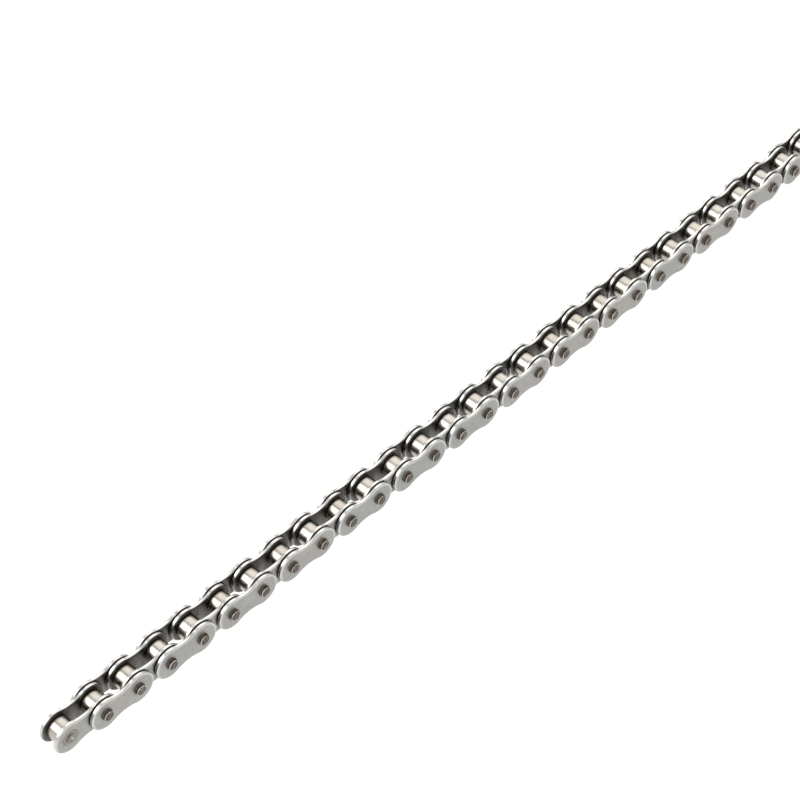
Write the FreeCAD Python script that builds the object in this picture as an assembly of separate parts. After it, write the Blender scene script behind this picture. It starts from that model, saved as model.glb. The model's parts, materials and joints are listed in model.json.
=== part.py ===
import FreeCAD, Part
import math
import os

from FreeCAD import Vector

# Simplex bush roller chain, 8 mm pitch (the proportions of ISO 606 size 05B-1), in millimetres.
#
# An open length that starts and ends with an inner link:
#   inner link = two inner plates pressed on two bushes, with a free roller on each bush,
#   outer link = two outer plates pressed and riveted on two bearing pins.
# The chain lies straight along X and stands on the edges of its plates. The pins lie along Y.
# Z points up. The origin is the middle of the chain's footprint, under the middle inner link.

# Driving dimensions
PITCH = 8.0
LINKS = 29  # odd, so both ends are inner links
PLATE_THICKNESS = 0.80
END_RADIUS = 3.55  # of both plates' rounded ends: plate height 7.10
WAIST_HALF_HEIGHT = 2.75  # at mid-link
EDGE_ROUND = 0.20  # tumbled plate edges

INNER_WIDTH = 3.00  # between the inner plates
BUSH_LENGTH = 4.77  # over the bush ends, which stand just proud of the inner plates
BUSH_OUTER_RADIUS = 1.65
BUSH_BORE_RADIUS = 1.18
BUSH_CHAMFER = 0.08

ROLLER_RADIUS = 2.50
ROLLER_BORE_RADIUS = 1.69
ROLLER_LENGTH = 2.90
ROLLER_EDGE_ROUND = 0.25
ROLLER_BORE_CHAMFER = 0.10

OUTER_WIDTH = 4.90  # between the outer plates
PIN_RADIUS = 1.155
PIN_LENGTH = 8.00  # over the riveted ends
RIVET_RADIUS = 1.20  # of the spread rim of a pin end
RIVET_HEIGHT = 0.35
RIVET_EDGE_ROUND = 0.16
STAKE_WIDTH = 0.32  # of the chisel mark across the pin end
STAKE_DEPTH = 0.12
STAKE_ANGLES = (50.0, 42.0, 61.0, 47.0, 55.0)  # degrees from the chain line, in turn along the chain

# Worked out from the driving dimensions
PIN_COUNT = LINKS + 1
AXIS_HEIGHT = END_RADIUS
PIN_END = PIN_LENGTH / 2
STAKE_LENGTH = 2.5 * RIVET_RADIUS
Y_AXIS = Vector(0, 1, 0)


def axis_x(index):
    """X of the pin axis with this index, counted from 0 at the -X end."""
    return (index - (PIN_COUNT - 1) / 2) * PITCH


def cylinder(radius, length):
    """Cylinder along Y, centred on the origin."""
    return Part.makeCylinder(radius, length, Vector(0, -length / 2, 0), Y_AXIS)


def tube(outer_radius, bore_radius, length):
    """Tube along Y, centred on the origin."""
    return cylinder(outer_radius, length).cut(cylinder(bore_radius, length))


def circles(solid, radius):
    """The circular edges of this radius round the Y axis."""
    return [
        edge
        for edge in solid.Edges
        if isinstance(edge.Curve, Part.Circle) and abs(edge.Curve.Radius - radius) < 1e-6
    ]


def plate_outline():
    """Waisted outline in the XZ plane: two round ends joined by two hollow arcs tangent to them."""
    half = PITCH / 2
    hollow = (half**2 + WAIST_HALF_HEIGHT**2 - END_RADIUS**2) / (2 * (END_RADIUS - WAIST_HALF_HEIGHT))
    reach = END_RADIUS / (END_RADIUS + hollow)
    tangent_x = half * (1 - reach)
    tangent_z = (WAIST_HALF_HEIGHT + hollow) * reach
    right_high = Vector(tangent_x, 0, tangent_z)
    right_low = Vector(tangent_x, 0, -tangent_z)
    left_high = Vector(-tangent_x, 0, tangent_z)
    left_low = Vector(-tangent_x, 0, -tangent_z)
    arcs = [
        Part.Arc(right_low, Vector(half + END_RADIUS, 0, 0), right_high),
        Part.Arc(right_high, Vector(0, 0, WAIST_HALF_HEIGHT), left_high),
        Part.Arc(left_high, Vector(-half - END_RADIUS, 0, 0), left_low),
        Part.Arc(left_low, Vector(0, 0, -WAIST_HALF_HEIGHT), right_low),
    ]
    return Part.Wire([arc.toShape() for arc in arcs])


def plate(hole_radius):
    """Plate about its own middle, its thickness along Y, edges rounded, with two holes a pitch apart."""
    blank = Part.Face(plate_outline()).extrude(Vector(0, PLATE_THICKNESS, 0))
    blank.translate(Vector(0, -PLATE_THICKNESS / 2, 0))
    rims = [
        edge
        for edge in blank.Edges
        if abs(abs(edge.BoundBox.Center.y) - PLATE_THICKNESS / 2) < 1e-6 and edge.BoundBox.YLength < 1e-6
    ]
    blank = blank.makeFillet(EDGE_ROUND, rims)
    for side in (-1, 1):
        hole = cylinder(hole_radius, 2 * PLATE_THICKNESS)
        hole.translate(Vector(side * PITCH / 2, 0, 0))
        blank = blank.cut(hole)
    return blank


def bush():
    solid = tube(BUSH_OUTER_RADIUS, BUSH_BORE_RADIUS, BUSH_LENGTH)
    return solid.makeChamfer(BUSH_CHAMFER, circles(solid, BUSH_OUTER_RADIUS))


def roller():
    solid = tube(ROLLER_RADIUS, ROLLER_BORE_RADIUS, ROLLER_LENGTH)
    solid = solid.makeFillet(ROLLER_EDGE_ROUND, circles(solid, ROLLER_RADIUS))
    return solid.makeChamfer(ROLLER_BORE_CHAMFER, circles(solid, ROLLER_BORE_RADIUS))


def rivet_head(side):
    """Spread end of a pin, clear of the plate: it widens like a cone and its outer edge is rounded over."""
    foot = side * (PIN_END - RIVET_HEIGHT)
    head = Part.makeCone(PIN_RADIUS, RIVET_RADIUS, RIVET_HEIGHT, Vector(0, foot, 0), Vector(0, side, 0))
    return head.makeFillet(RIVET_EDGE_ROUND, circles(head, RIVET_RADIUS))


def stake_mark(side, angle):
    """Wedge that the riveting chisel leaves across one end of a pin."""
    top = side * PIN_END
    corners = [
        Vector(-STAKE_LENGTH / 2, top, -STAKE_WIDTH / 2),
        Vector(-STAKE_LENGTH / 2, top, STAKE_WIDTH / 2),
        Vector(-STAKE_LENGTH / 2, top - side * STAKE_DEPTH, 0),
    ]
    section = Part.Face(Part.makePolygon(corners + corners[:1]))
    wedge = section.extrude(Vector(STAKE_LENGTH, 0, 0))
    wedge.rotate(Vector(0, 0, 0), Y_AXIS, -angle)
    return wedge


def pin(angle):
    solid = cylinder(PIN_RADIUS, 2 * (PIN_END - RIVET_HEIGHT))
    solid = solid.fuse([rivet_head(-1), rivet_head(1)]).removeSplitter()
    for side in (-1, 1):
        solid = solid.cut(stake_mark(side, angle))
    return solid.Solids[0]


def placed(solid, x, y=0.0):
    """A copy of a solid moved along the chain and up to the height of the pin axes."""
    copy = solid.copy()
    copy.translate(Vector(x, y, AXIS_HEIGHT))
    return copy


def inner_link(index):
    """Two plates and two bushes, pressed together: a separate solid each."""
    middle = (axis_x(index) + axis_x(index + 1)) / 2
    offset = (INNER_WIDTH + PLATE_THICKNESS) / 2
    solids = [placed(INNER_PLATE, middle, side * offset) for side in (-1, 1)]
    solids += [placed(BUSH, axis_x(end)) for end in (index, index + 1)]
    return Part.makeCompound(solids)


def outer_link(index):
    """Two plates and two riveted pins: a separate solid each."""
    middle = (axis_x(index) + axis_x(index + 1)) / 2
    offset = (OUTER_WIDTH + PLATE_THICKNESS) / 2
    solids = [placed(OUTER_PLATE, middle, side * offset) for side in (-1, 1)]
    for end in (index, index + 1):
        solids.append(placed(pin(STAKE_ANGLES[end % len(STAKE_ANGLES)]), axis_x(end)))
    return Part.makeCompound(solids)


def write(name, shape):
    shape.exportStep(os.path.join("parts", name + ".step"))
    print(name, "valid", shape.isValid(), "solids", len(shape.Solids), "mm3", round(shape.Volume, 3))


INNER_PLATE = plate(BUSH_OUTER_RADIUS)
OUTER_PLATE = plate(PIN_RADIUS)
BUSH = bush()
ROLLER = roller()

os.makedirs("parts", exist_ok=True)
for link in range(LINKS):
    if link % 2 == 0:
        write(f"inner_link_{link // 2 + 1:02d}", inner_link(link))
    else:
        write(f"outer_link_{link // 2 + 1:02d}", outer_link(link))
for number in range(PIN_COUNT):
    write(f"roller_{number + 1:02d}", placed(ROLLER, axis_x(number)))
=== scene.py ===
"""Looks of a simplex bush roller chain of 8 mm pitch: plates, bushes, riveted pins and rollers."""

import json
import math

import bmesh
import bpy
import numpy as np
from mathutils import Matrix, Vector


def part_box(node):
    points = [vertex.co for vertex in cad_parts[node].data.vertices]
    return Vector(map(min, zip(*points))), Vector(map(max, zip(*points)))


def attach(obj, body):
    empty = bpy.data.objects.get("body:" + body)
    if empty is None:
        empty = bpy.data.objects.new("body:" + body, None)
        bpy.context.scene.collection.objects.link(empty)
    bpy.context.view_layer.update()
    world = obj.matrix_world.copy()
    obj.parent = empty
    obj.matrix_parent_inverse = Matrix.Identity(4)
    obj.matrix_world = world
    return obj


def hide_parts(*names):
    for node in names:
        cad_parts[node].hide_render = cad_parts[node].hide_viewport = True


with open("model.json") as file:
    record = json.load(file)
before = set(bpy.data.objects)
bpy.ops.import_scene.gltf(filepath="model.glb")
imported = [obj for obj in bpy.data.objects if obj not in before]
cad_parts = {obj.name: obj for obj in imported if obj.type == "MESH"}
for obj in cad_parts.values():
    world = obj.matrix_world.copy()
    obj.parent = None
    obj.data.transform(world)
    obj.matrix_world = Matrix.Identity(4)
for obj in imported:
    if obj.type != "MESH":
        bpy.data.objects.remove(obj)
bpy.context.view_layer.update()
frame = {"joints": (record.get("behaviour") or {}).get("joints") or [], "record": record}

# ---------------------------------------------------------------- sizes, in metres

MM = 0.001
JOINTS = {joint["name"]: joint for joint in frame["joints"]}
FIRST_AXIS = Vector(JOINTS["roller_spin_01"]["pos_m"])
SECOND_AXIS = Vector(JOINTS["roller_spin_02"]["pos_m"])
PITCH = SECOND_AXIS.x - FIRST_AXIS.x
AXIS_HEIGHT = FIRST_AXIS.z

END_RADIUS = AXIS_HEIGHT  # the plates stand on their round ends
WAIST_HALF_HEIGHT = 2.75 * MM
PLATE_THICKNESS = 0.80 * MM
EDGE_ROUND = 0.20 * MM
CROWN_WIDTH = 0.40 * MM  # band inside the rounded edge where tumbling has worn the face down
CROWN_DROP = 0.012 * MM
HOLE_CHAMFER = 0.05 * MM

INNER_WIDTH = 3.00 * MM
BUSH_LENGTH = 4.77 * MM
BUSH_OUTER_RADIUS = 1.65 * MM
BUSH_BORE_RADIUS = 1.18 * MM
BUSH_CHAMFER = 0.08 * MM

ROLLER_RADIUS = 2.50 * MM
ROLLER_BORE_RADIUS = 1.69 * MM
ROLLER_LENGTH = 2.90 * MM
ROLLER_EDGE_ROUND = 0.25 * MM
ROLLER_BORE_CHAMFER = 0.10 * MM

OUTER_WIDTH = 4.90 * MM
PIN_RADIUS = 1.155 * MM
PIN_LENGTH = 8.00 * MM
RIVET_RADIUS = 1.20 * MM
RIVET_HEIGHT = 0.35 * MM
RIVET_EDGE_ROUND = 0.24 * MM

STAKE_HALF_WIDTH = 0.15 * MM  # of the chisel's groove across the end of a pin
STAKE_DEPTH = 0.12 * MM
STAKE_ANGLE_LOW, STAKE_ANGLE_HIGH = 46.0, 62.0  # degrees from the chain line
LIP_HEIGHT = 0.04 * MM  # of the metal that the chisel pushed up
LIP_PLACE = 1.7  # in half widths of the groove from its middle
LIP_SHARPNESS = 3  # of the bell curve across a lip
STAKE_FADE = 8  # power of the radius by which the mark dies out at the rim
CHISEL_SEED = 7

# ---------------------------------------------------------------- grids

OUTLINE_POINTS = 56  # round each end of a plate
HOLLOW_POINTS = 14  # along each half of a plate's hollow
MIDDLE_POINTS = 12  # down a plate's mid-line
CROWN_SHARES = (0.0, 0.04, 0.12, 0.28, 0.55, 1.0)  # rows across the crown, closest at the edge
FACE_SHARES = (0.66, 0.33, 0.06, 0.0)  # rows from the crown in to the hole
ROUND_POINTS = 6  # along the quarter circle of a rounded edge
ROLLER_STEPS, BUSH_STEPS, PIN_STEPS = 72, 48, 56  # round the axis
MERGE_DISTANCE = 1e-4 * MM
FACE_RINGS = 11  # from the middle of a pin's face to its rim
FIRST_RING = 0.03 * MM  # radius inside which one flat face closes the end of a pin
EDGE_LOOP = 0.02 * MM  # a loop this near to an edge keeps the face beyond it flat in smooth shading
PIN_LOOP = 0.03 * MM  # the same along a pin
FLARE_STEP = 0.01 * MM  # between the radius of the flare's ends and those of the rim and the shank

# ---------------------------------------------------------------- stain, wear, painted highlight, and oil with painted shade on the surfaces

STAIN_REACH = 0.12 * MM  # over which the brown round a pin or bush falls to 0.37
# Oil with painted shade on a plate's inner face, in the gaps and on faces that neighbours cover; painted
# shade alone on the low edges
INNER_SHADE_AND_OIL = 0.75  # 0 is clean, and 1 is black with oil and painted shade
DARKENING_REACH = END_RADIUS + 0.1 * MM  # from the pin axis, inside which the oil and painted shade of an inner face rise to black
DARKENING_FADE = 0.5 * MM
GAP_SHADE_AND_OIL = 1.15  # over 1, so that the clouds in the oil and painted shade thin it less
COVERED_SHADE_AND_OIL = 0.6
GAP_REACH = END_RADIUS + 0.25 * MM  # from the pin axis
GAP_FADE = 0.2 * MM
FACE_START = 0.6  # share of the half thickness where the oil and painted shade of a face start
FACE_SLOPE, GAP_SLOPE = 4, 6  # how fast it rises beyond that, per half thickness
# painted shade: a plate's edge darker towards the bottom
LOW_EDGE = 2.0 * MM
LOW_EDGE_SHADE = 0.5
EDGE_WEAR = 0.9  # wear above this is a plate's edge

# A pin's wear values hold its wear, with painted light where said
FACE_WEAR = (0.4, 0.45)  # of a pin, from the middle outwards
RIM_WEAR_AND_LIGHT = (0.6, 0.95, 1.2, 1.0, -0.2, -0.9)  # from the last ring of the face over the rounded edge: wear, with a painted highlight at the rim's middle and painted shade at its foot
FLARE_TOP_SHADE, FLARE_FOOT_SHADE = -1.0, -0.9  # painted shade at the flare's top and at its foot
NECK_SHADE, SHANK_WEAR = -0.35, 0.1  # painted shade just under the flare, and the shank's wear at the plate
WEAR_RANGE = (-1, 1.2)
PIN_POLISH = (-0.12, 0.15)  # least and most that a pin's face differs from FACE_WEAR
# a painted highlight on the chisel's lips and painted shade in its groove
LIP_HIGHLIGHT, GROOVE_SHADE = 0.2, 1.1

# ---------------------------------------------------------------- surfaces


def grid_faces(rows, columns, closed=True):
    """Quads between neighbouring rows and columns of a grid; the last column meets the first if closed."""
    across = columns if closed else columns - 1
    row, column = np.meshgrid(np.arange(rows - 1), np.arange(across), indexing="ij")
    after = (column + 1) % columns
    low, high = row * columns, (row + 1) * columns
    return np.stack([low + column, low + after, high + after, high + column], axis=-1).reshape(-1, 4)


def arc(centre, radius, start, end, count):
    """Points on a circle at evenly spaced angles, and the unit directions from its centre to them."""
    angle = np.linspace(start, end, count)
    direction = np.stack([np.cos(angle), np.sin(angle)], axis=1)
    return np.asarray(centre) + radius * direction, direction


def half_outline():
    """Outline of the half plate with x above 0 in the XZ plane, from the waist's foot to its top.

    A round end of END_RADIUS about the pin axis runs into hollow arcs, tangent to it, whose centres stand
    over and under the plate's middle. Their radius makes the waist WAIST_HALF_HEIGHT high each way. Returns
    the points and the unit normals, which point out of the plate."""
    half = PITCH / 2
    hollow = (half**2 + WAIST_HALF_HEIGHT**2 - END_RADIUS**2) / (2 * (END_RADIUS - WAIST_HALF_HEIGHT))
    lift = WAIST_HALF_HEIGHT + hollow
    turn = math.atan2(lift, -half)  # angle of the tangent point about the round end
    lean = math.atan2(-lift, half)  # angle of the same point about the hollow's centre
    foot, foot_way = arc((0, -lift), hollow, math.pi / 2, -lean, HOLLOW_POINTS)
    end, end_way = arc((half, 0), END_RADIUS, -turn, turn, OUTLINE_POINTS)
    top, top_way = arc((0, lift), hollow, lean, -math.pi / 2, HOLLOW_POINTS)
    points = np.concatenate([foot[:-1], end, top[1:]])
    normals = np.concatenate([-foot_way[:-1], end_way, -top_way[1:]])
    points[0, 0] = points[-1, 0] = 0.0
    normals[0] = (0.0, -1.0)
    normals[-1] = (0.0, 1.0)
    return points, normals


def plate_half(hole_radius):
    """Half of a plate with x above 0, its thickness along Y, as grid points, quads, wear and stain.

    Columns run round the hole: one to each point of the outline and to points on the plate's mid-line.
    Rows run from the edge of one face in to the hole, through it, and out to the edge of the other face.
    A second grid carries the outline over the rounded edge, across the thickness and over the other edge.
    Wear is 1 on the edge and in the hole, and fades to 0 on the face over CROWN_WIDTH. Stain is 1 at the
    hole and falls off with the distance from it, to 0.37 of itself over each STAIN_REACH."""
    outline, normals = half_outline()
    face_edge = outline - EDGE_ROUND * normals
    down = np.linspace(face_edge[-1, 1], face_edge[0, 1], MIDDLE_POINTS + 2)[1:-1]
    middle = np.stack([np.zeros(MIDDLE_POINTS), down], axis=1)
    on_edge = np.concatenate([np.ones(len(outline)), np.zeros(MIDDLE_POINTS)])
    centre = np.array([PITCH / 2, 0.0])
    way = np.concatenate([face_edge, middle]) - centre
    reach = np.linalg.norm(way, axis=1)
    way = way / reach[:, None]

    half_thick = PLATE_THICKNESS / 2
    rows = []
    for share in CROWN_SHARES:
        drop = CROWN_DROP * (1 - share) ** 2 * on_edge
        rows.append((reach - share * CROWN_WIDTH, half_thick - drop, (1 - share) * on_edge))
    span = reach - CROWN_WIDTH - hole_radius - HOLE_CHAMFER
    for share in FACE_SHARES:
        radius = hole_radius + HOLE_CHAMFER + share * span
        rows.append((radius, np.full_like(reach, half_thick), np.zeros_like(reach)))
    hole = np.full_like(reach, hole_radius)
    rows.append((hole, np.full_like(reach, half_thick - HOLE_CHAMFER), np.ones_like(reach)))
    rows += [(radius, -height, wear) for radius, height, wear in rows[::-1]]
    face_points = np.stack(
        [
            np.stack([centre[0] + way[:, 0] * radius, height, way[:, 1] * radius], axis=1)
            for radius, height, _ in rows
        ]
    )
    face_wear = np.stack([wear for _, _, wear in rows])

    bend = np.linspace(0, math.pi / 2, ROUND_POINTS)
    inset = EDGE_ROUND * (1 - np.sin(bend))
    height = half_thick - CROWN_DROP - (EDGE_ROUND - CROWN_DROP) * (1 - np.cos(bend))
    inset = np.concatenate([inset, inset[::-1]])
    height = np.concatenate([height, -height[::-1]])
    place = outline[None] - inset[:, None, None] * normals[None]
    across = np.repeat(height[:, None], len(outline), axis=1)
    rim_points = np.stack([place[..., 0], across, place[..., 1]], axis=-1)

    points = np.concatenate([face_points.reshape(-1, 3), rim_points.reshape(-1, 3)])
    wear = np.concatenate([face_wear.ravel(), np.ones(across.size)])
    away = np.hypot(points[:, 0] - centre[0], points[:, 2]) - hole_radius
    stain = np.exp(-np.maximum(away, 0.0) / STAIN_REACH)
    face_quads = grid_faces(*face_wear.shape)
    rim_quads = face_wear.size + grid_faces(*across.shape, closed=False)
    return points, np.concatenate([face_quads, rim_quads]), wear, stain


def plate_surface(hole_radius):
    """A whole plate, as points, faces and each point's wear and stain.

    It is the half plate and its mirror image in the plane x = 0."""
    points, quads, wear, stain = plate_half(hole_radius)
    both = np.concatenate([points, points * np.array([-1.0, 1.0, 1.0])])
    faces = np.concatenate([quads, quads[:, ::-1] + len(points)]).tolist()
    return both, faces, {"wear": np.tile(wear, 2), "stain": np.tile(stain, 2)}


def facing(plate, side, neighbour, free_end=0):
    """The same plate for one side of the chain, with oil and painted shade where it meets other parts.

    An outer face that nothing covers has none. On the inner face and its rounded edge it is the inner value,
    rising to 1 round the pin axis. On the edge next to the neighbour plate it is the gap value, and on a
    face that the neighbour covers the covered value, as far from the pin as it reaches; these are oil and
    painted shade. On the edge it also rises to the low edge value from the pins' height to LOW_EDGE below
    it: painted shade only, the edge darker towards the bottom.
    Neighbour is 1 where the neighbour lies towards the chain's middle, and -1 where it lies outside.
    Free_end is the side, -1 or 1 along the chain, on which no plate covers this one, or 0."""
    points, faces, values = plate
    depth = -side * points[:, 1] / (PLATE_THICKNESS / 2)  # 1 on the inner face, -1 on the outer one
    to_pin = np.hypot(np.abs(points[:, 0]) - PITCH / 2, points[:, 2])
    # oil and painted shade on the inner face, rising to black round the pin axis
    near_pin_darkening = INNER_SHADE_AND_OIL + (1 - INNER_SHADE_AND_OIL) * np.clip((DARKENING_REACH - to_pin) / DARKENING_FADE, 0, 1)
    inner = np.clip(FACE_SLOPE * (depth - FACE_START), 0, 1) * near_pin_darkening
    beside = np.clip((GAP_REACH - to_pin) / GAP_FADE, 0, 1) * (free_end * points[:, 0] <= 0)
    # oil and painted shade in the gap beside the neighbour plate and on the face it covers
    in_gap = np.clip(GAP_SLOPE * (neighbour * depth - FACE_START), 0, 1) * beside
    in_gap = in_gap * np.where(values["wear"] > EDGE_WEAR, GAP_SHADE_AND_OIL, COVERED_SHADE_AND_OIL)
    # painted shade: the edge darker towards the bottom
    low_edge_shade = LOW_EDGE_SHADE * np.clip(-points[:, 2] / LOW_EDGE, 0, 1) * values["wear"]
    return points, faces, {**values, "shade_and_oil": np.maximum(np.maximum(inner, in_gap), low_edge_shade)}


def turned(upper, steps):
    """A ring, as points, faces and no point values: a closed profile carried round the Y axis.

    The profile is its upper half and that half's mirror image in y = 0. The half is (radius, y) pairs that
    start on y = 0 on the outside and run over the end to the bore."""
    profile = np.concatenate([upper, upper[:0:-1] * np.array([1.0, -1.0])])
    angle = np.linspace(0, 2 * math.pi, steps, endpoint=False)
    radius = profile[:, :1]
    y = np.broadcast_to(profile[:, 1:], (len(profile), steps))
    points = np.stack([radius * np.cos(angle), y, radius * np.sin(angle)], axis=-1)
    quads = grid_faces(len(profile) + 1, steps) % y.size  # the last row meets the first
    return points.reshape(-1, 3), quads.tolist(), {}


def roller_surface():
    """Tube profile carried round Y: round outer edges, flat ends and a chamfered bore."""
    half = ROLLER_LENGTH / 2
    flat = half - ROLLER_EDGE_ROUND
    rim = ROLLER_RADIUS - ROLLER_EDGE_ROUND
    mouth = ROLLER_BORE_RADIUS + ROLLER_BORE_CHAMFER
    outside = [(ROLLER_RADIUS, 0.0), (ROLLER_RADIUS, flat - EDGE_LOOP)]
    rounded, _ = arc((rim, flat), ROLLER_EDGE_ROUND, 0, math.pi / 2, ROUND_POINTS)
    end = [
        (rim - EDGE_LOOP, half),
        (mouth + EDGE_LOOP, half),
        (mouth, half),
        (ROLLER_BORE_RADIUS, half - ROLLER_BORE_CHAMFER),
    ]
    return turned(np.concatenate([outside, rounded, end]), ROLLER_STEPS)


def bush_surface():
    """Tube profile carried round Y, with a small chamfer outside each end."""
    half = BUSH_LENGTH / 2
    upper = np.array(
        [
            (BUSH_OUTER_RADIUS, 0.0),
            (BUSH_OUTER_RADIUS, half - BUSH_CHAMFER),
            (BUSH_OUTER_RADIUS - BUSH_CHAMFER, half),
            (BUSH_BORE_RADIUS, half),
        ]
    )
    return turned(upper, BUSH_STEPS)


def pin_profile():
    """Half of a pin as (radius, distance along the pin, wear with painted light) rows, from the middle of
    its face.

    The flat face runs over a quarter circle and down a flare to the shank, and the last row is inside the
    plate. Returns the rows, and the number of them that are on the face and its rim."""
    face = PIN_LENGTH / 2
    flat = RIVET_RADIUS - RIVET_EDGE_ROUND
    plate_side = OUTER_WIDTH / 2 + PLATE_THICKNESS
    bend = np.linspace(0, math.pi / 2, ROUND_POINTS)[1:]
    disc_radius = np.linspace(FIRST_RING, flat, FACE_RINGS)
    disc_wear = np.append(np.linspace(*FACE_WEAR, FACE_RINGS - 1), RIM_WEAR_AND_LIGHT[0])
    disc = np.stack([disc_radius, np.full(FACE_RINGS, face), disc_wear], axis=1)
    rim_radius = flat + RIVET_EDGE_ROUND * np.sin(bend)
    rim_height = face - RIVET_EDGE_ROUND * (1 - np.cos(bend))
    # the rim: wear with a painted highlight, and painted shade where it turns under
    rim = np.stack([rim_radius, rim_height, RIM_WEAR_AND_LIGHT[1:]], axis=1)
    # painted shade on the flare and just under it, then the shank's wear
    flare = [
        (RIVET_RADIUS - FLARE_STEP, face - RIVET_EDGE_ROUND - PIN_LOOP, FLARE_TOP_SHADE),
        (PIN_RADIUS + FLARE_STEP, face - RIVET_HEIGHT + PIN_LOOP, FLARE_FOOT_SHADE),
        (PIN_RADIUS, face - RIVET_HEIGHT - PIN_LOOP, NECK_SHADE),
        (PIN_RADIUS, plate_side + PIN_LOOP, SHANK_WEAR),
        (PIN_RADIUS, plate_side - PIN_LOOP, SHANK_WEAR),
    ]
    return np.concatenate([disc, rim, flare]), len(disc) + len(rim)


def pin_surface(front_angle, back_angle, polish):
    """A pin and its two riveted ends, as points, faces and each point's wear with painted light.

    Each end is a polar grid, its profile carried round the Y axis. The face is flat less a chisel mark: a
    groove whose depth falls off as a bell curve of the distance from a straight line, between two low lips
    of the metal that it pushed up. Wear is about 1 on the rim, under half that plus the pin's own polish on
    the face, near 0 on the shank and below 0 behind the rim. The rim carries a painted highlight, the values
    below 0 behind it are painted shade, and the lips get a painted highlight and the groove painted shade."""
    profile, marked_rows = pin_profile()
    radius, height, wear = (value[:, None] for value in profile.T)
    angle = np.linspace(0, 2 * math.pi, PIN_STEPS, endpoint=False)
    x = radius * np.cos(angle)
    z = radius * np.sin(angle)
    on_face = np.clip(1 - (radius / RIVET_RADIUS) ** STAKE_FADE, 0, 1)
    on_face[marked_rows:] = 0.0

    def end(side, turn):
        across = (x * math.sin(turn) - z * math.cos(turn)) / STAKE_HALF_WIDTH
        groove = STAKE_DEPTH * np.exp(-(across**2))
        lips = LIP_HEIGHT * np.exp(-LIP_SHARPNESS * (np.abs(across) - LIP_PLACE) ** 2)
        y = height - (groove - lips + LIP_HEIGHT) * on_face
        # the pin's own polish, a painted highlight on the lips and painted shade in the groove
        polish_and_painted_light = polish + LIP_HIGHLIGHT * lips / LIP_HEIGHT - GROOVE_SHADE * groove / STAKE_DEPTH
        return np.stack([x, side * y, z], axis=-1), np.clip(wear + on_face * polish_and_painted_light, *WEAR_RANGE)

    front, front_wear = end(-1, front_angle)
    back, back_wear = end(1, back_angle)
    points = np.concatenate([front, back[::-1]])
    rows = len(points)
    faces = grid_faces(rows, PIN_STEPS).tolist()
    faces.append(list(range(PIN_STEPS)))
    faces.append(list(range((rows - 1) * PIN_STEPS, rows * PIN_STEPS)))
    return points.reshape(-1, 3), faces, {"wear": np.concatenate([front_wear, back_wear[::-1]]).ravel()}


# ---------------------------------------------------------------- pieces


def make_piece(name, surface, place, material, body):
    """One closed object from a surface's points, faces and point values, moved to its place on the chain."""
    points, faces, values = surface
    mesh = bpy.data.meshes.new(name)
    mesh.from_pydata((points + np.array(place)).tolist(), [], faces)
    for value_name, numbers in values.items():
        layer = mesh.attributes.new(value_name, "FLOAT", "POINT")
        layer.data.foreach_set("value", numbers.astype(np.float32))
    work = bmesh.new()
    work.from_mesh(mesh)
    bmesh.ops.remove_doubles(work, verts=work.verts, dist=MERGE_DISTANCE)
    bmesh.ops.recalc_face_normals(work, faces=work.faces)
    work.to_mesh(mesh)
    work.free()
    mesh.shade_smooth()
    mesh.materials.append(material)
    piece = bpy.data.objects.new(name, mesh)
    bpy.context.scene.collection.objects.link(piece)
    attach(piece, body)
    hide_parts(body)


def middle_of(node):
    """X of the middle of a CAD node, from its box."""
    low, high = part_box(node)
    return (low[0] + high[0]) / 2


# ---------------------------------------------------------------- materials

PIT_BROWN = (0.12, 0.10, 0.085)
WORN_EDGE = (0.60, 0.595, 0.58)
STAIN_BROWN = (0.10, 0.075, 0.055)
# the black of oil and of painted shade on the plates
SHADE_AND_OIL_BLACK = (0.045, 0.038, 0.032)
PALE_ROLLER, STRAW_ROLLER = (0.49, 0.462, 0.425), (0.45, 0.415, 0.365)
# painted shade on a pin: its flare, under its rim and in its chisel groove
PIN_SHADE_BLACK = (0.02, 0.017, 0.015)
SHANK_BROWN = (0.33, 0.26, 0.21)
FACE_GREY = (0.088, 0.086, 0.082)
# a pin's worn rim and chisel lips, with a painted highlight
RIM_BRIGHT = (0.52, 0.475, 0.43)
PALE_BUSH, OILY_BUSH = (0.34, 0.31, 0.28), (0.20, 0.175, 0.15)
TURNING_MARKS = (120, 9000, 120)  # noise per metre along X, Y and Z: narrow rings round the Y axis
SCRATCHES = (900, 5000, 9000)
SCRATCH_TURN = (0, 0.5, 0)
EDGE_POLISH = 0.16  # by how much a worn edge is less rough than the face
PIT_DEPTH = -2.0  # of a pit, where the grain is 0 to 1 high
MIX_FIRST, MIX_SECOND, MIX_RESULT = 6, 7, 2  # the colour sockets of a Mix node


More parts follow.
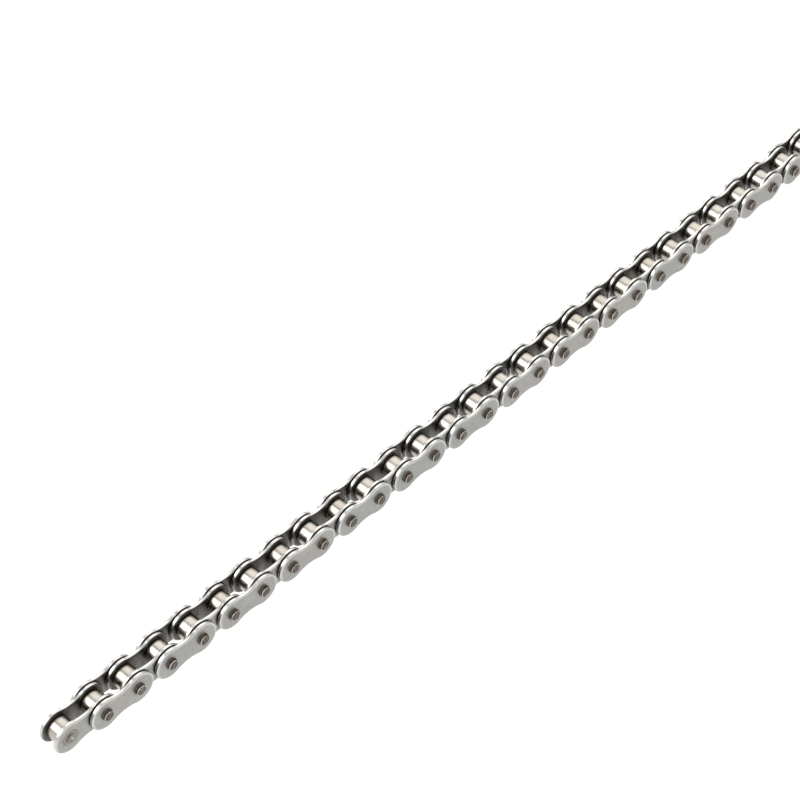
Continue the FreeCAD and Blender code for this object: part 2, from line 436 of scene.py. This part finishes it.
class Finish:
    """A metal's material, with a short call for each node of its pattern. The calls return output sockets.

    Patterns lie on Object coordinates, so a scale is in blotches per metre: at 45 they are about 20 mm
    across, and at 5200 about 0.2 mm."""

    def __init__(self, name):
        self.material = bpy.data.materials.new(name)
        self.material.use_nodes = True
        self.nodes = self.material.node_tree.nodes
        self.links = self.material.node_tree.links
        self.shader = self.nodes["Principled BSDF"]
        self.shader.inputs["Metallic"].default_value = 1.0
        self.place = self.nodes.new("ShaderNodeTexCoord").outputs["Object"]

    def feed(self, socket, value):
        """Link an output to the socket, or set the socket to a number or a colour."""
        if isinstance(value, bpy.types.NodeSocket):
            self.links.new(value, socket)
        elif isinstance(value, tuple):
            socket.default_value = (*value, 1.0)
        else:
            socket.default_value = value

    def painted(self, name):
        """The value of this name that each point of the mesh holds."""
        node = self.nodes.new("ShaderNodeAttribute")
        node.attribute_name = name
        return node.outputs["Fac"]

    def noise(self, scale, detail, roughness=0.6, place=None):
        """Blotches from 0 to 1, mostly near 0.5."""
        node = self.nodes.new("ShaderNodeTexNoise")
        node.inputs["Scale"].default_value = scale
        node.inputs["Detail"].default_value = detail
        node.inputs["Roughness"].default_value = roughness
        self.links.new(place or self.place, node.inputs["Vector"])
        return node.outputs["Fac"]

    def streaks(self, scales, detail, turn=(0, 0, 0)):
        """Noise with a scale for each axis, for marks that run one way, on coordinates turned first."""
        node = self.nodes.new("ShaderNodeMapping")
        node.inputs["Rotation"].default_value = turn
        node.inputs["Scale"].default_value = scales
        self.links.new(self.place, node.inputs["Vector"])
        return self.noise(1.0, detail, place=node.outputs["Vector"])

    def remap(self, value, low, high, to_low=0.0, to_high=1.0):
        """The value with low to high stretched to to_low to to_high, and held there beyond them."""
        node = self.nodes.new("ShaderNodeMapRange")
        ends = {"From Min": low, "From Max": high, "To Min": to_low, "To Max": to_high}
        for name, number in ends.items():
            node.inputs[name].default_value = number
        self.links.new(value, node.inputs["Value"])
        return node.outputs["Result"]

    def mix(self, share, first, second, mode="MIX"):
        """The first colour with this share of the second mixed in, or multiplied in if the mode says so."""
        node = self.nodes.new("ShaderNodeMix")
        node.data_type = "RGBA"
        node.blend_type = mode
        self.feed(node.inputs["Factor"], share)
        self.feed(node.inputs[MIX_FIRST], first)
        self.feed(node.inputs[MIX_SECOND], second)
        return node.outputs[MIX_RESULT]

    def maths(self, operation, first, second):
        """Two values added, subtracted or multiplied."""
        node = self.nodes.new("ShaderNodeMath")
        node.operation = operation
        self.feed(node.inputs[0], first)
        self.feed(node.inputs[1], second)
        return node.outputs[0]

    def done(self, colour, roughness, relief, strength, depth):
        """The material, its shader fed with a colour, a roughness, and a bump of this strength and depth."""
        node = self.nodes.new("ShaderNodeBump")
        node.inputs["Strength"].default_value = strength
        node.inputs["Distance"].default_value = depth
        self.links.new(relief, node.inputs["Height"])
        self.links.new(node.outputs["Normal"], self.shader.inputs["Normal"])
        self.links.new(colour, self.shader.inputs["Base Color"])
        self.links.new(roughness, self.shader.inputs["Roughness"])
        return self.material


def plate_steel(name, cool, warm):
    """Tumbled plate steel: cloudy satin faces, fine scratches and pits, bright worn edges, and oil with
    painted shade on inner faces, in the gaps and along the lower edges.
    """
    finish = Finish(name)
    edge, stain, shade_and_oil = (finish.painted(value) for value in ("wear", "stain", "shade_and_oil"))
    drift = finish.noise(45.0, detail=2.0)
    clouds = finish.noise(420.0, detail=5.0, roughness=0.62)
    pits = finish.noise(1500.0, detail=2.0)
    grain = finish.noise(5200.0, detail=3.0, roughness=0.7)
    scratches = finish.streaks(SCRATCHES, detail=3.0, turn=SCRATCH_TURN)

    steel = finish.mix(finish.remap(drift, 0.38, 0.62), cool, warm)
    steel = finish.mix(1.0, steel, finish.remap(clouds, 0.3, 0.7, 0.86, 1.1), "MULTIPLY")
    specks = finish.remap(pits, 0.63, 0.70, 0.0, 0.6)
    steel = finish.mix(specks, steel, PIT_BROWN)
    bright = finish.maths("MULTIPLY", edge, finish.remap(clouds, 0.3, 0.6, 0.8, 1.0))
    steel = finish.mix(bright, steel, WORN_EDGE)
    brown = finish.maths("MULTIPLY", stain, finish.remap(pits, 0.35, 0.6, 0.25, 0.75))
    steel = finish.mix(brown, steel, STAIN_BROWN)
    # oil and painted shade, thinned by the clouds
    shade_and_oil_share = finish.maths("MULTIPLY", shade_and_oil, finish.remap(clouds, 0.35, 0.65, 0.75, 0.95))
    steel = finish.mix(shade_and_oil_share, steel, SHADE_AND_OIL_BLACK)

    dull = finish.remap(clouds, 0.3, 0.7, 0.36, 0.48)
    roughness = finish.maths("SUBTRACT", dull, finish.maths("MULTIPLY", edge, EDGE_POLISH))
    relief = finish.maths("ADD", grain, scratches)
    relief = finish.maths("ADD", relief, finish.maths("MULTIPLY", specks, PIT_DEPTH))
    return finish.done(steel, roughness, relief, strength=0.22, depth=0.012 * MM)


def roller_steel():
    """Ground and hardened roller steel: bright, faintly warm, with fine grinding marks round the roller."""
    finish = Finish("roller_steel")
    clouds = finish.noise(500.0, detail=4.0)
    drift = finish.noise(60.0, detail=2.0)
    rings = finish.streaks(TURNING_MARKS, detail=3.0)
    steel = finish.mix(finish.remap(drift, 0.4, 0.6), PALE_ROLLER, STRAW_ROLLER)
    steel = finish.mix(1.0, steel, finish.remap(clouds, 0.3, 0.7, 0.85, 1.08), "MULTIPLY")
    steel = finish.mix(1.0, steel, finish.remap(rings, 0.3, 0.7, 0.9, 1.06), "MULTIPLY")
    roughness = finish.remap(clouds, 0.3, 0.7, 0.20, 0.32)
    return finish.done(steel, roughness, rings, strength=0.2, depth=0.006 * MM)


def pin_steel():
    """Pin steel: brown on the shank, black painted shade on the flare, under the rim and in the chisel
    groove, grey on the face, and bright at its worn rim and lips with a painted highlight.
    """
    finish = Finish("pin_steel")
    clouds = finish.noise(1100.0, detail=4.0)
    grain = finish.noise(5200.0, detail=3.0)
    wear = finish.maths("ADD", finish.painted("wear"), finish.remap(clouds, 0.3, 0.7, -0.32, 0.26))
    # black where the values fall below 0: painted shade
    steel = finish.mix(finish.remap(wear, -0.6, 0.0), PIN_SHADE_BLACK, SHANK_BROWN)
    steel = finish.mix(finish.remap(wear, 0.1, 0.3), steel, FACE_GREY)
    # bright: worn rim, with a painted highlight on it and on the chisel's lips
    steel = finish.mix(finish.remap(wear, 0.65, 1.1), steel, RIM_BRIGHT)
    roughness = finish.remap(wear, 0.0, 1.0, 0.55, 0.24)
    return finish.done(steel, roughness, grain, strength=0.3, depth=0.02 * MM)


def bush_steel():
    """Bush steel: dark and oily, with marks of turning."""
    finish = Finish("bush_steel")
    clouds = finish.noise(700.0, detail=4.0)
    rings = finish.streaks(TURNING_MARKS, detail=2.0)
    steel = finish.mix(finish.remap(clouds, 0.35, 0.65), PALE_BUSH, OILY_BUSH)
    roughness = finish.remap(clouds, 0.3, 0.7, 0.28, 0.42)
    return finish.done(steel, roughness, rings, strength=0.2, depth=0.008 * MM)


OUTER_STEEL = plate_steel("outer_plate_steel", cool=(0.352, 0.365, 0.357), warm=(0.375, 0.366, 0.347))
INNER_STEEL = plate_steel("inner_plate_steel", cool=(0.35, 0.36, 0.35), warm=(0.37, 0.36, 0.337))
ROLLER_STEEL = roller_steel()
PIN_STEEL = pin_steel()
BUSH_STEEL = bush_steel()

# ---------------------------------------------------------------- the chain

bodies = frame["record"]["behaviour"]["bodies"]
inner_links = sorted(name for name in bodies if name.startswith("inner_link"))
outer_links = sorted(name for name in bodies if name.startswith("outer_link"))
rollers = sorted(name for name in bodies if name.startswith("roller"))

INNER_PLATE = plate_surface(BUSH_OUTER_RADIUS)
OUTER_PLATE = plate_surface(PIN_RADIUS)
BUSH = bush_surface()
ROLLER = roller_surface()
SIDES = (("front", -1), ("back", 1))
ENDS = (("near", -1), ("far", 1))
FREE_ENDS = {inner_links[0]: -1, inner_links[-1]: 1}

for link in inner_links:
    number = link[-2:]
    x = middle_of(link)
    for side_name, side in SIDES:
        place = (x, side * (INNER_WIDTH + PLATE_THICKNESS) / 2, AXIS_HEIGHT)
        plate = facing(INNER_PLATE, side, neighbour=-1, free_end=FREE_ENDS.get(link, 0))
        make_piece(f"inner_plate_{number}_{side_name}", plate, place, INNER_STEEL, link)
    for end_name, end in ENDS:
        place = (x + end * PITCH / 2, 0.0, AXIS_HEIGHT)
        make_piece(f"bush_{number}_{end_name}", BUSH, place, BUSH_STEEL, link)

chisel = np.random.default_rng(CHISEL_SEED)
for link in outer_links:
    number = link[-2:]
    x = middle_of(link)
    for side_name, side in SIDES:
        place = (x, side * (OUTER_WIDTH + PLATE_THICKNESS) / 2, AXIS_HEIGHT)
        plate = facing(OUTER_PLATE, side, neighbour=1)
        make_piece(f"outer_plate_{number}_{side_name}", plate, place, OUTER_STEEL, link)
    for end_name, end in ENDS:
        place = (x + end * PITCH / 2, 0.0, AXIS_HEIGHT)
        angles = np.radians(chisel.uniform(STAKE_ANGLE_LOW, STAKE_ANGLE_HIGH, 2))
        pin = pin_surface(*angles, chisel.uniform(*PIN_POLISH))
        make_piece(f"pin_{number}_{end_name}", pin, place, PIN_STEEL, link)

for name in rollers:
    place = (JOINTS[name.replace("roller", "roller_spin")]["pos_m"][0], 0.0, AXIS_HEIGHT)
    make_piece(f"{name}_shell", ROLLER, place, ROLLER_STEEL, name)

# ---------------------------------------------------------------- floor, light and camera

FLOOR_HALF = 3.0
FLOOR_HEIGHT = -0.09  # below the end of the chain where half of it hangs down at a joint's limit
PAPER_WHITE = (0.86, 0.86, 0.86, 1)
PAPER_ROUGHNESS = 0.9
PAPER_GLOW = 0.1  # a light table, as under small polished parts
WARM = (1.0, 0.985, 0.96)
WARMER = (1.0, 0.975, 0.94)
ROOM_LIGHT = (1.0, 0.993, 0.98, 1)
ROOM_STRENGTH = 0.83

corner_signs = ((-1, -1), (1, -1), (1, 1), (-1, 1))
floor_corners = [(x * FLOOR_HALF, y * FLOOR_HALF, FLOOR_HEIGHT) for x, y in corner_signs]
floor_mesh = bpy.data.meshes.new("studio_floor")
floor_mesh.from_pydata(floor_corners, [], [(0, 1, 2, 3)])
floor = bpy.data.objects.new("studio_floor", floor_mesh)
bpy.context.scene.collection.objects.link(floor)
paper = bpy.data.materials.new("white_paper")
paper.use_nodes = True
paper_shader = paper.node_tree.nodes["Principled BSDF"]
paper_shader.inputs["Base Color"].default_value = PAPER_WHITE
paper_shader.inputs["Roughness"].default_value = PAPER_ROUGHNESS
paper_shader.inputs["Emission Color"].default_value = (1, 1, 1, 1)
paper_shader.inputs["Emission Strength"].default_value = PAPER_GLOW
floor_mesh.materials.append(paper)


def softbox(name, towards, distance, size, radiance, colour=(1, 1, 1)):
    """Area light facing the chain's middle, of this radiance, seen from the chain in this direction."""
    width, height = size
    light = bpy.data.lights.new(name, "AREA")
    light.shape = "RECTANGLE"
    light.size, light.size_y = width, height
    light.energy = radiance * width * height * math.pi
    light.color = colour
    lamp = bpy.data.objects.new(name, light)
    way = Vector(towards).normalized()
    lamp.location = way * distance
    lamp.rotation_euler = way.to_track_quat("Z", "Y").to_euler()
    bpy.context.scene.collection.objects.link(lamp)


softbox("left_softbox", (-0.65, 0.456, 0.60), distance=0.9, size=(0.5, 0.65), radiance=3.0, colour=WARM)
softbox("front_softbox", (-0.46, -0.82, 0.36), distance=0.9, size=(0.45, 0.45), radiance=2.2)
softbox("top_softbox", (0.49, 0.45, 0.75), distance=1.0, size=(0.9, 0.9), radiance=1.1, colour=WARMER)

world = bpy.data.worlds.new("studio")
bpy.context.scene.world = world
world.use_nodes = True
background = world.node_tree.nodes["Background"]
background.inputs["Color"].default_value = ROOM_LIGHT
background.inputs["Strength"].default_value = ROOM_STRENGTH
bpy.context.scene.view_settings.view_transform = "Standard"

# The camera stands in front of the chain, beyond its end of lowest X, and looks along it and down on it.
# Its angles are in radians, and its lens and sensor in millimetres.
CAMERA_PLACE = Vector((-0.25145, -0.21910, 0.35127))
CAMERA_YAW = 0.7721  # from +X towards +Y
CAMERA_PITCH = 0.8085  # below the horizon
CAMERA_ROLL = -0.0147
CAMERA_LENS = 104.59
SENSOR_WIDTH = 36.0
NEAREST_SEEN = 0.01

look = Vector(
    (
        math.cos(CAMERA_PITCH) * math.cos(CAMERA_YAW),
        math.cos(CAMERA_PITCH) * math.sin(CAMERA_YAW),
        -math.sin(CAMERA_PITCH),
    )
)
level = Vector((math.sin(CAMERA_YAW), -math.cos(CAMERA_YAW), 0))
above = level.cross(look)
right = level * math.cos(CAMERA_ROLL) + above * math.sin(CAMERA_ROLL)
up = above * math.cos(CAMERA_ROLL) - level * math.sin(CAMERA_ROLL)
camera_data = bpy.data.cameras.new("camera")
camera_data.lens = CAMERA_LENS
camera_data.sensor_width = SENSOR_WIDTH
camera_data.clip_start = NEAREST_SEEN
camera = bpy.data.objects.new("camera", camera_data)
camera.matrix_world = Matrix.Translation(CAMERA_PLACE) @ Matrix((right, up, -look)).transposed().to_4x4()
bpy.context.scene.collection.objects.link(camera)
bpy.context.scene.camera = camera
